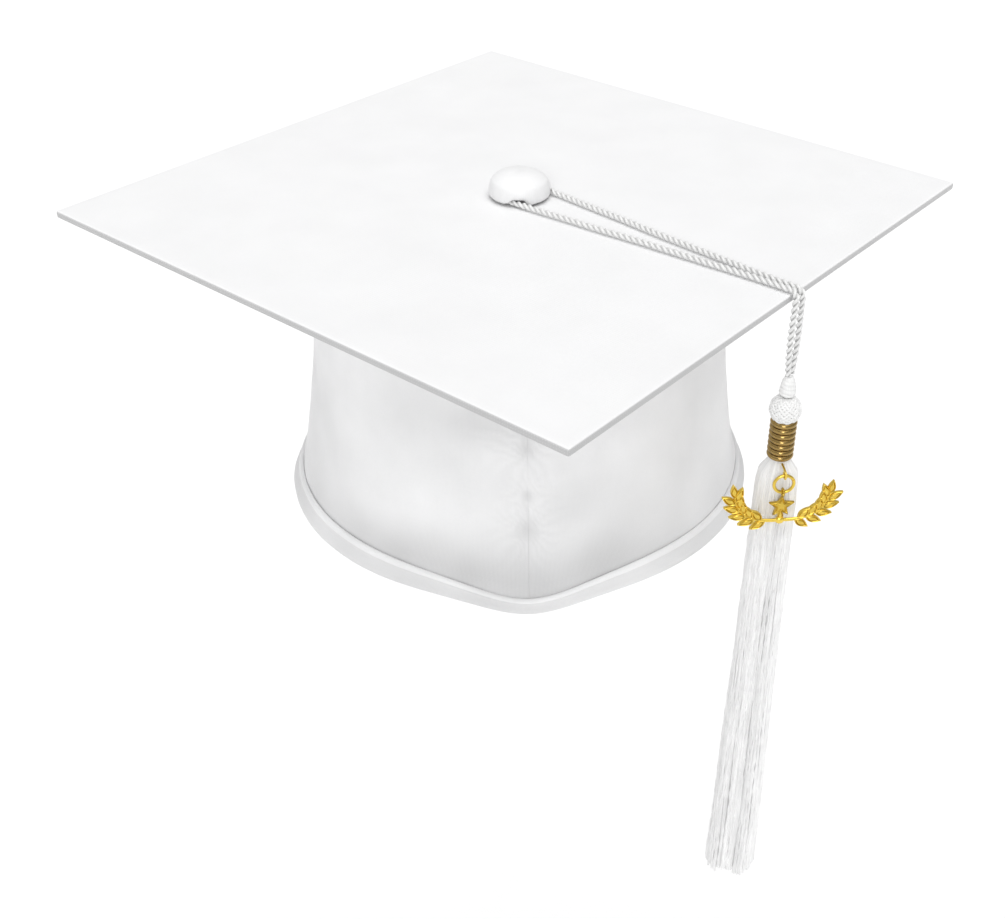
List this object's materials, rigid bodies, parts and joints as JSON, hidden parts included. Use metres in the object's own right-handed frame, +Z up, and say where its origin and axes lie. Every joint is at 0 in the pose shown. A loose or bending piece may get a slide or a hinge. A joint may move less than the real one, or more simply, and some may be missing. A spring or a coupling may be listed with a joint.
{
  "type": "graduation cap",
  "caption": "Square academic cap: cloth-covered board on a flared skull crown with a folded hem, a domed button and a corded tassel with a ribbed ferrule and a laurel charm.",
  "frame": {"origin": "centre of the head opening, level with the hem's edge, where the wearer's head holds the cap", "axes": "+Z up, square to the board; -Y is the front of the cap, with the crown's front seam and the board's front corner; +X is the wearer's left"},
  "size_m": [0.3412, 0.3412, 0.3016],
  "materials": {
    "cap_cloth": "matte",
    "board": "matte",
    "interfacing": "matte",
    "tape": "satin",
    "sweatband": "satin",
    "elastic": "matte",
    "steel": "satin",
    "cord": "satin",
    "strands": "satin",
    "wood": "satin",
    "bronze": "gloss",
    "gold": "gloss"
  },
  "bodies": {
    "cap": {"board_core": "board", "board_top_cover": "cap_cloth", "board_underside_cover": "cap_cloth", "crown_left_panel": "cap_cloth", "crown_right_panel": "cap_cloth", "interfacing_left": "interfacing", "interfacing_right": "interfacing", "front_seam_tape": "tape", "back_seam_tape": "tape", "hem_band": "cap_cloth", "sweatband": "sweatband", "back_elastic": "elastic", "size_label": "tape", "crown_tip": "interfacing", "crown_tip_lining": "interfacing", "button_cover": "cap_cloth", "button_shell": "steel", "button_back": "steel", "button_prong": "steel", "prong_washer": "steel"},
    "loop": {"cord_loop": "cord", "cord_bend_front": "cord", "cord_bend_back": "cord"},
    "hanging_cord": {"cord_hanging_front": "cord", "cord_hanging_back": "cord"},
    "tassel": {"tassel_knot": "cord", "tassel_bead": "wood", "tassel_bead_cover": "cord", "bead_cord": "cord", "ferrule": "bronze", "neck_binding": "cord", "tassel_skirt": "strands", "charm_link": "gold"},
    "ring": {"charm_ring": "gold"},
    "pendant": {"charm": "gold"}
  },
  "joints": [
    {"name": "loop_swivel", "type": "hinge", "parent": "cap", "child": "loop", "pos_m": [0, 0, 0.122], "axis": [0, 0, 1], "range_deg": [-5, 5]},
    {"name": "tassel_swing_out", "type": "hinge", "parent": "loop", "child": "hanging_cord", "pos_m": [0.08478, -0.08478, 0.1209], "axis": [-0.7071, -0.7071, 0], "range_deg": [-4, 80], "deforming": ["cord_bend_front", "cord_bend_back"]},
    {"name": "tassel_sway", "type": "hinge", "parent": "hanging_cord", "child": "tassel", "pos_m": [0.08669, -0.08669, 0.0884], "axis": [0.7071, -0.7071, 0], "range_deg": [-50, 50]},
    {"name": "ring_flap", "type": "hinge", "parent": "tassel", "child": "ring", "pos_m": [0.08669, -0.09589, 0.05435], "axis": [-1, 0, 0], "range_deg": [-2, 75]},
    {"name": "charm_rock", "type": "hinge", "parent": "ring", "child": "pendant", "pos_m": [0.08669, -0.09589, 0.04715], "axis": [0, 1, 0], "range_deg": [-20, 20]}
  ]
}
